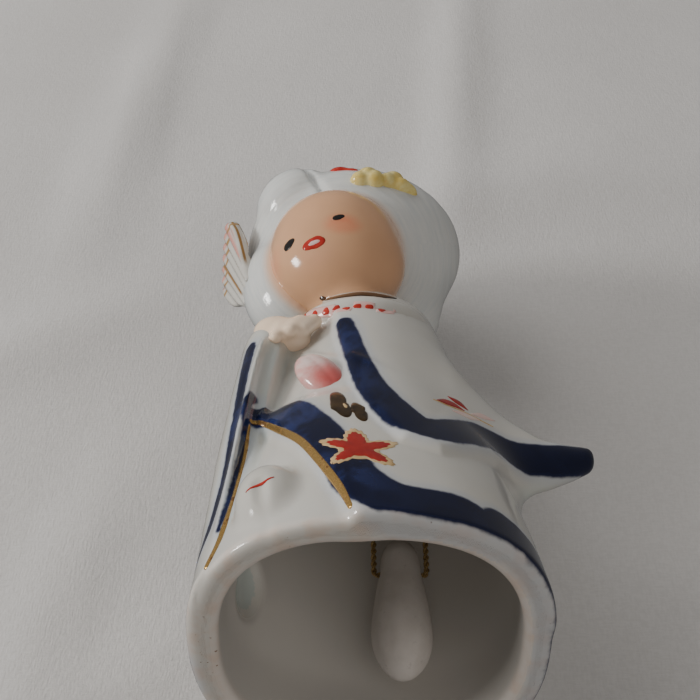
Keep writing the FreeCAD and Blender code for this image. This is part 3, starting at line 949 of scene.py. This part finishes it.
def pink_material():
    shader = Shader("pink_enamel")
    brushed = shader.between(shader.noise(260, 4.0, 0.62, distortion=0.4), 0.36, 0.64)
    deep = shader.spot((-5.2, -15.6, 39.2), (3.4, 4.0, 2.8), soft=0.8)
    tone = shader.mix(brushed, (0.84, 0.66, 0.62), (0.78, 0.42, 0.38))
    tone = shader.mix(shader.times(deep, 0.9), tone, (0.66, 0.10, 0.09))
    shader.paint(tone)
    shader.set(Roughness=0.13, Coat_Weight=0.4, Coat_Roughness=0.04,
               Normal=shader.bump(shader.noise(420, 2.0), 0.00005, 0.6))
    return shader.material


knot = formed("sash_oval", knot_field, [-12.6, -17.4, 35.6], [-1.6, -8, 47.6], (0.3, 0.6), pink_material())
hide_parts("sash_knot")

FAN_TURN = np.array(Matrix.Rotation(math.radians(8), 3, "Z") @ Matrix.Rotation(math.radians(-17), 3, "Y")
                    @ Matrix.Rotation(math.radians(-10), 3, "X"))
FAN_FOOT = np.array([-14.4, -5.2, 62])


def fan_local(p):
    """Through the fan, across it, and from its foot to its rim."""
    return (p - FAN_FOOT) @ FAN_TURN


def fan_width(reach):
    return 2.6 + reach * 0.142


def fan_field(p):
    q = fan_local(p)
    thick, across, reach = q[..., 0], q[..., 1], q[..., 2]
    rays = across / fan_width(reach)
    flute = 0.5 * (2 * np.abs((rays * 3.5 + 0.25) % 1 - 0.5) - 0.5) * ease(4, 14, reach)
    slab = np.abs(thick - flute) - 1.1
    side = (np.abs(across) - (3.2 + 4.6 * ease(20, 33, reach))) * 0.9
    crown = np.hypot(across, reach - 14) - 24.3 - 0.3 * np.cos(rays * 22)
    blade = smooth_max(smooth_max(side, crown, 1.2), -reach + 20.0, 0.6)
    return smooth_max(slab, blade, 0.9)


def fan_material():
    shader, tone = glazed_white("glaze_fan")

    def band_at(value, centre, half, soft):
        off = shader.math("ABSOLUTE", shader.math("SUBTRACT", value, centre))
        return shader.between(off, half + soft, half - soft)

    reach = shader.attribute("reach")
    wobble = shader.times(shader.math("SUBTRACT", shader.noise(300, 2.0), 0.5), 1.6)
    place = shader.math("ADD", reach, wobble)
    tone = shader.mix(shader.times(shader.between(place, 35.8, 36.8), 0.8), tone, (0.74, 0.30, 0.24))
    wide = shader.attribute("ray")
    for centre in (0.22, -0.42):
        gold_ray = shader.times(band_at(wide, centre, 0.05, 0.02), shader.between(place, 22, 24))
        tone = shader.mix(gold_ray, tone, (0.34, 0.19, 0.07))
    # the folded front edge: two gold layers and a pink one
    front = shader.times(shader.between(wide, -0.62, -0.8), shader.between(place, 23, 25))
    layer = shader.attribute("layer")
    for centre, half in ((-0.2, 0.26), (1.15, 0.24)):
        tone = shader.mix(shader.times(band_at(layer, centre, half, 0.1), front), tone, (0.30, 0.17, 0.06))
    pink = shader.times(shader.between(layer, -0.8, -1.2), front)
    tone = shader.mix(shader.times(pink, 0.8), tone, (0.70, 0.27, 0.22))
    tone = shader.mix(band_at(place, 34.6, 0.425, 0.125), tone, (0.40, 0.24, 0.10))
    return shader.paint(tone)


low, high = node_box("fan")
fan = formed("fluted_fan", fan_field, low - [4, 4, 1.5], high + [4, 6, 2], (0.34, 0.7), fan_material())
layer, across, reach = fan_local(vertex_places(fan)).T
set_attribute(fan, "reach", reach)
set_attribute(fan, "ray", across / fan_width(reach))
set_attribute(fan, "layer", layer)
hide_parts("fan")


def ribbon_field(p):
    loop = ellipsoid(p, (-4.2, -13.3, 104.0), (3.1, 2.6, 1.8), turned("Y", 20))
    end = ellipsoid(p, (-2.2, -13.9, 103.2), (2.4, 2.2, 1.3), turned("Y", 20))
    return smooth_max(smooth_min(loop, end, 0.5), -(hair_field(p) + 1.2), 0.3)


low, high = node_box("hair_ribbon")
ribbon = formed("red_ribbon", ribbon_field, low - 2.4, high + 2.2, (0.28, 0.6), RED)
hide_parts("hair_ribbon")


def yellow_material():
    shader = glaze_surface(Shader("yellow_glaze"))
    patchy = shader.between(shader.noise(330, 4.0, 0.6), 0.34, 0.66)
    tone = shader.mix(patchy, (0.84, 0.74, 0.34), (0.74, 0.55, 0.15))
    return shader.paint(tone)


YELLOW = yellow_material()


def petal_piece(name, node, lobes):
    def field(p):
        whole = None
        for centre, radius in lobes:
            lobe = ellipsoid(p, centre, radius)
            whole = lobe if whole is None else smooth_min(whole, lobe, 0.7)
        return smooth_max(whole, -(hair_field(p) + 1.0), 0.3)

    low, high = node_box(node)
    petal = formed(name, field, low - 2.2, high + 2.2, (0.28, 0.6), YELLOW)
    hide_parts(node)


petal_piece("flower_left", "flower_petal_left",
            [((-0.9, -16.0, 97.8), (1.9, 2.3, 1.8)), ((1.8, -16.2, 97.9), (1.9, 2.3, 1.9)),
             ((0.6, -15.9, 99.6), (2.2, 2.3, 1.8)), ((0.5, -17.3, 98.5), (0.8, 1.5, 0.8))])
petal_piece("flower_right", "flower_petal_right",
            [((4.1, -15.5, 98.2), (1.8, 2.3, 1.6)), ((6.5, -14.6, 98.0), (2.2, 2.3, 1.4)),
             ((5.2, -15.1, 99.6), (2.2, 2.3, 1.5)), ((8.3, -13.5, 97.8), (1.5, 2.1, 1.0))])

# ---- overglaze marks on the robe
fine_gold = stroke("gold_edge", ROBE_TREE,
                   [(-17.3, -12.6, 32.6), (-15.4, -13.6, 30.4), (-13.4, -14.7, 27.9), (-9.7, -19.1, 20.2),
                    (-6.8, -21.8, 12.9), (-4.2, -23.6, 6.1), (-2.6, -24.7, 0.8)],
                   [0.3, 0.42, 0.5, 0.58, 0.62, 0.6, 0.4], GOLD, 0.06)
left_gold = stroke("gold_under_edge", ROBE_TREE,
                   [(-17.3, -12.6, 31.3), (-17.7, -12.3, 23.8), (-19, -12, 14), (-19.9, -11.3, 9),
                    (-21.4, -11, 3.9)],
                   [0.22, 0.28, 0.34, 0.46, 0.4], GOLD, 0.06)


def maple(angle):
    """The outline of a leaf with five lobes: each has a direction, a reach and a width."""
    reach = 2.3
    for tip, size, width in ((96, 4.9, 0.52), (28, 5.0, 0.46), (152, 5.0, 0.46), (-42, 4.9, 0.46),
                             (-132, 4.5, 0.46)):
        off = abs((angle - math.radians(tip) + math.pi) % (2 * math.pi) - math.pi)
        lobe = size / (1 + (off / width) ** 2.0 * 0.95)
        notch = 1 + 0.05 * math.sin(off * 40)
        reach = max(reach, lobe * notch)
    return reach * (1 + 0.18 * abs(math.sin(angle)))


LEAF_AT = (-1.6, -22.3, 14.6)
leaf_gold = patch("leaf_outline", ROBE_TREE, LEAF_AT, lambda a: maple(a) + 0.42, PALE_GOLD,
                  height=0.05, rings=10, sides=180)
leaf = patch("maple_leaf", ROBE_TREE, LEAF_AT, lambda a: maple(a) * 0.93, LEAF_RED,
             height=0.12, rings=10, sides=180)
for number, (spot, size) in enumerate((((-4.2, -18.9, 28.0), (1.3, 5.0)), ((-1.5, -19.4, 26.0), (1.0, 3.3)))):
    lobe = patch(f"gold_knot_{number}", ROBE_TREE, spot, tilted_oval(*size, 12, 0.10, number + 2), DARK_GOLD,
                 height=0.14)
# a pale gold dab on the dark knot: painted highlight standing in for a glint
knot_painted_glint = patch("gold_knot_painted_glint", ROBE_TREE, (-3.4, -19.0, 27.5), tilted_oval(0.3, 1.1, 15, 0.1, 1),
                 PALE_GOLD, height=0.2)

thong = stroke("sandal_thong", ROBE_TREE,
               [(-16.0, -20.4, 8.2), (-14.6, -21.2, 8.6), (-13.5, -21.6, 9.0), (-12.4, -21.8, 9.6)],
               [0.12, 0.22, 0.24, 0.12], RED, 0.06)

for number, (a, b, c, w) in enumerate((
        ((10.2, -12.4, 37.4), (12.2, -11.6, 37.6), (14.4, -10.6, 37.0), 0.9),
        ((12.4, -11.8, 35.6), (14.6, -10.8, 35.7), (16.8, -9.8, 35.8), 0.9),
        ((12.0, -11.2, 39.8), (13.6, -10.6, 39.0), (15.0, -10.2, 37.6), 0.75),
        ((15.4, -10.0, 37.0), (17.2, -9.4, 37.2), (19.0, -9.0, 36.6), 0.7))):
    sprig = stroke(f"sleeve_leaf_{number}", ROBE_TREE, [a, b, c], [0.12, w, 0.12],
                   PINK_LEAF if number % 2 else LEAF_RED, 0.05)
sprig_line = stroke("sleeve_stem", ROBE_TREE, [(9.6, -12.8, 37.0), (13.5, -10.9, 36.9), (18.6, -9.0, 35.2)],
                    [0.08, 0.14, 0.08], PALE_GOLD, 0.09)

# ---- the bar, the cord and the clapper
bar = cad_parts["hanger_bar"]
bar.data.materials.clear()
bar.data.materials.append(BISCUIT)

SWUNG = math.radians(12.0)
DOWN = np.array([0, math.sin(SWUNG), -math.cos(SWUNG)])
BACK = np.array([0, math.cos(SWUNG), math.sin(SWUNG)])
BAR = np.array([4.8, 0, 66.0])


def hanging(across, back, drop):
    """A point on the swung-back parts: mm across from the cord's middle, back, and down from the bar."""
    return BAR + np.array([across, 0, 0]) + BACK * back + DOWN * drop


def twisted(name, points, body, round_all=0.45, pitch=2.3):
    """Two plies of thread laid round a path, as one closed tube each."""
    path, _ = dense(points, None, 0.12)
    count = len(path)
    run = np.concatenate([[0], np.cumsum(np.linalg.norm(np.diff(path, axis=0), axis=1))])
    ply = round_all * 0.52
    orbit = round_all - ply
    verts, faces, fibre = [], [], []
    sides = 10
    way = np.gradient(path, axis=0)
    way /= np.linalg.norm(way, axis=1)[:, None]
    start = np.cross(way[0], [0.31, 0.87, 0.4])
    start /= np.linalg.norm(start)
    frame_x = [start]
    for w in way[1:]:
        nxt = frame_x[-1] - w * (frame_x[-1] @ w)
        frame_x.append(nxt / np.linalg.norm(nxt))
    for which in (0, 1):
        base = len(verts)
        for i in range(count):
            turn = 2 * math.pi * run[i] / pitch + math.pi * which
            u = frame_x[i]
            v = np.cross(way[i], u)
            out = u * math.cos(turn) + v * math.sin(turn)
            centre = path[i] + out * orbit
            around = np.cross(way[i], out)
            for k in range(sides):
                a = 2 * math.pi * k / sides
                verts.append(centre + out * ply * math.cos(a) + around * ply * 1.15 * math.sin(a))
                fibre.append(k / sides * 2.0 + run[i] * 0.9)
        faces += tube_faces(count, sides, base)
    obj = closed_outward(new_object(name, verts, faces, THREAD, body))
    set_attribute(obj, "fibre", fibre)
    return obj


HALF_GAP = 7.9 / 2
HOLE = 44.5  # mm from the bar down to the clapper's cross hole
CORNER = 0.6  # mm radius where a strand turns into the hole
TOP, FOOT = 3.05 + HALF_GAP, HOLE - CORNER


def strand_points(side, parts):
    return [hanging(side * HALF_GAP, 0, TOP + (FOOT - TOP) * t) for t in parts]


for side, name, node in ((-1, "strand_left_twist", "strand_left"), (1, "strand_right_twist", "strand_right")):
    ends = strand_points(side, (0, 0.25, 0.5, 0.75, 1))
    strand = twisted(name, ends, "cord_loop")
    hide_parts(node)
    [(point * MM).tolist() for point in strand_points(side, np.linspace(0, 1, 25))]

arc = [hanging(HALF_GAP * math.cos(a), 0, TOP - HALF_GAP * math.sin(a))
       for a in np.linspace(0, math.pi, 13)]
loop_top = twisted("cord_top_twist", arc, "cord_loop")
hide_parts("cord_top")

CORNER_ANGLES = (0, 0.4, 0.8, 1.2, 1.571)
bend = [hanging(-HALF_GAP + CORNER * (1 - math.cos(a)), 0, FOOT + CORNER * math.sin(a)) for a in CORNER_ANGLES]
bend += [hanging(x, 0, HOLE) for x in (-1.5, 0, 1.5)]
bend += [hanging(HALF_GAP - CORNER * (1 - math.cos(a)), 0, FOOT + CORNER * math.sin(a))
         for a in CORNER_ANGLES[::-1]]
loop_low = twisted("cord_cross_twist", bend, "cord_loop")
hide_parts("cord_cross")

# the hitch round the bar and the loop, and the small overhand knot on the right strand
ROUND_BAR = 1.82  # mm from the bar's axis to the cord's
ring = [hanging(0, -0.05, -ROUND_BAR)]
ring += [hanging(0, ROUND_BAR * math.sin(a), -ROUND_BAR * math.cos(a)) for a in np.linspace(0.25, 2.35, 9)]
ring += [hanging(0, back, drop)
         for back, drop in ((1.0, 3.0), (0.62, 3.75), (0, 4.0), (-0.62, 3.75), (-1.0, 3.0))]
ring += [hanging(0, -ROUND_BAR * math.sin(a), -ROUND_BAR * math.cos(a)) for a in np.linspace(2.35, 0.1, 9)]
hitch = twisted("cord_hitch_twist", ring, "hitch", 0.42)
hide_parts("cord_hitch")

low, high = node_box("cord_knot")
knot_at = (low + high) / 2
turns = []
for a in np.linspace(0, 4 * math.pi, 40):
    turns.append(knot_at + np.array([0.55 * math.cos(a), 0, 0]) + BACK * 0.55 * math.sin(a)
                 + DOWN * (0.55 * math.sin(a * 0.5 + 0.6)))
wrap = twisted("cord_knot_twist", turns, "cord_loop", 0.38, 1.9)
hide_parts("cord_knot")


CLAPPER_RADIUS = curve_through([-8, -4, 0, 4, 8, 11, 18], [2.6, 2.75, 3.1, 3.75, 4.3, 4.42, 4.3], 4)


def clapper_field(p):
    q = p - BAR
    across, back, drop = q[..., 0], q @ BACK, q @ DOWN - HOLE
    radius = CLAPPER_RADIUS(drop)
    radius = radius * np.sqrt(np.clip(1 - (np.clip(-2.4 - drop, 0, None) / 3.5) ** 2, 0, 1))
    radius = radius * np.sqrt(np.clip(1 - (np.clip(drop - 9.2, 0, None) / 7.8) ** 2.3, 0, 1))
    body = (np.hypot(across, back) - radius) * 0.8
    body = np.maximum(body, np.maximum(drop - 16.9, -5.85 - drop))
    around = np.arctan2(back, across)
    body += 0.03 * np.cos(9 * around) * ease(0, 6, drop) * ease(16.5, 13, drop)
    body -= 0.09 * hump(back, 0.35) * ease(-6, 2, drop)
    hole = np.hypot(back, drop) - 0.56
    return smooth_max(body, -hole, 0.35)


low, high = node_box("clapper")
clapper = formed("clapper_body", clapper_field, low - 0.8, high + 0.8, (0.3, 0.6), BISCUIT, "clapper")
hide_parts("clapper")

# ---- the stage


def cloth_material(name):
    """Undyed cotton: weave, slubs and soft creases, the creases' shade painted in broad darker patches; only
    its front side shows.
    """
    shader = Shader(name)
    # broad darker patches: painted shade for soft creases
    fold = shader.noise(9, 3.0, 0.55)
    tone = shader.mix(shader.between(fold, 0.3, 0.7), (0.66, 0.64, 0.625), (0.59, 0.57, 0.555))
    thread_a = shader.noise(1.0, 2.0, 0.6, shader.stretched(2600, 700, 700))
    thread_b = shader.noise(1.0, 2.0, 0.6, shader.stretched(700, 2600, 2600))
    weave = shader.math("ADD", thread_a, thread_b)
    tone = shader.mix(shader.between(weave, 0.75, 1.25, 0, 0.16), tone, (0.38, 0.365, 0.35))
    shader.paint(tone)
    level = shader.bump(weave, 0.00022, 0.4)
    level = shader.bump(shader.noise(46, 4.0, 0.6), 0.0009, 0.35, level)
    shader.set(Normal=level, Roughness=0.9, Sheen_Weight=0.15)
    back = shader.tree.nodes.new("ShaderNodeNewGeometry")
    clear = shader.tree.nodes.new("ShaderNodeBsdfTransparent")
    mixer = shader.tree.nodes.new("ShaderNodeMixShader")
    shader.tree.links.new(back.outputs["Backfacing"], mixer.inputs[0])
    shader.tree.links.new(shader.main.outputs[0], mixer.inputs[1])
    shader.tree.links.new(clear.outputs[0], mixer.inputs[2])
    shader.tree.links.new(mixer.outputs[0], shader.out.inputs["Surface"])
    return shader.material


def stage_sheet(name, origin, along, across, size, material, folds=()):
    """A large sheet facing along x across, with a few soft raised creases."""
    origin, along, across = (np.asarray(v, float) for v in (origin, along, across))
    up = np.cross(along, across)
    count = 181
    steps = np.linspace(-1, 1, count)
    steps = np.sign(steps) * np.abs(steps) ** 1.5 * size
    verts = []
    for v in steps:
        for u in steps:
            lift = 0.0
            for (u0, v0), (u1, v1), high, wide in folds:
                du, dv = u1 - u0, v1 - v0
                t = min(1.0, max(0.0, ((u - u0) * du + (v - v0) * dv) / (du * du + dv * dv)))
                away = math.hypot(u - u0 - t * du, v - v0 - t * dv)
                lift += high * math.exp(-(away / wide) ** 2) * math.sin(math.pi * (0.08 + 0.84 * t))
            verts.append(origin + along * u + across * v + up * lift)
    faces = [[r * count + k, r * count + k + 1, (r + 1) * count + k + 1, (r + 1) * count + k]
             for r in range(count - 1) for k in range(count - 1)]
    obj = new_object(name, verts, faces, material, None)
    obj.visible_shadow = False
    obj.visible_diffuse = False
    obj.visible_transmission = False
    obj.visible_glossy = False


stage_sheet("floor", (0, 0, 0), (1, 0, 0), (0, 1, 0), 900, cloth_material("floor_cloth"))
# the cloth that the bell's back lies on in the photograph; it faces the bell's front
lean = math.atan2(24.2 - 17.2, 98.5)
stage_sheet(
    "back_cloth", (0, 24.4, 0), (1, 0, 0), (0, -math.sin(lean), math.cos(lean)), 900,
    cloth_material("back_cloth"),
    [((-62, 120), (-50, 260), 2.4, 6.0), ((-95, -40), (-30, 20), 2.4, 8.0), ((18, 120), (34, 300), 2.2, 6.0),
     ((-120, 60), (-40, 110), 2.2, 9.0), ((60, 20), (110, 150), 2.0, 9.0), ((-60, -20), (-44, 60), 1.6, 6.0),
     ((-10, 135), (60, 160), 1.6, 9.0)],
)


def soft_light(name, way, far, size, power, colour, glints=True):
    data = bpy.data.lights.new(name, "AREA")
    data.shape = "RECTANGLE"
    data.size, data.size_y = size
    data.energy = power
    data.color = colour
    obj = bpy.data.objects.new(name, data)
    way = Vector(way).normalized()
    target = Vector((0, 0, 0.055))
    obj.location = target + way * far
    obj.rotation_euler = (-way).to_track_quat("-Z", "Y").to_euler()
    obj.visible_glossy = glints  # the fill lights give no shapes in the glaze
    bpy.context.scene.collection.objects.link(obj)


soft_light("window", (-0.9, -0.36, -0.05), 0.9, (0.17, 0.24), 4.2, (1.0, 0.985, 0.96))
soft_light("window_wall", (-0.76, -0.48, 0.46), 0.9, (0.95, 0.95), 7.0, (1.0, 0.985, 0.96), False)
soft_light("room", (0.36, -0.42, -0.86), 1.3, (1.5, 1.5), 5.9, (1.0, 0.96, 0.91), False)
soft_light("sky", (0.12, -0.25, 1.0), 1.0, (0.7, 0.7), 2.7, (0.97, 0.985, 1.0), False)

world = bpy.data.worlds.new("room_light")
bpy.context.scene.world = world
world.use_nodes = True
background = world.node_tree.nodes["Background"]
background.inputs["Color"].default_value = (0.74, 0.72, 0.70, 1)
background.inputs["Strength"].default_value = 0.19

FOCAL_WIDTHS = 1283 / 700  # the focal length in picture widths
lens = bpy.data.cameras.new("photo_camera")
lens.sensor_width = 36
lens.lens = FOCAL_WIDTHS * lens.sensor_width
lens.clip_start, lens.clip_end = 0.01, 10
camera = bpy.data.objects.new("photo_camera", lens)
bpy.context.scene.collection.objects.link(camera)
ahead = Vector(FORWARD).normalized()
side = Vector((1, 0, 0))
above = side.cross(ahead)
camera.matrix_world = Matrix((
    (side.x, above.x, -ahead.x, EYE[0] * MM),
    (side.y, above.y, -ahead.y, EYE[1] * MM),
    (side.z, above.z, -ahead.z, EYE[2] * MM),
    (0, 0, 0, 1),
))
bpy.context.scene.camera = camera
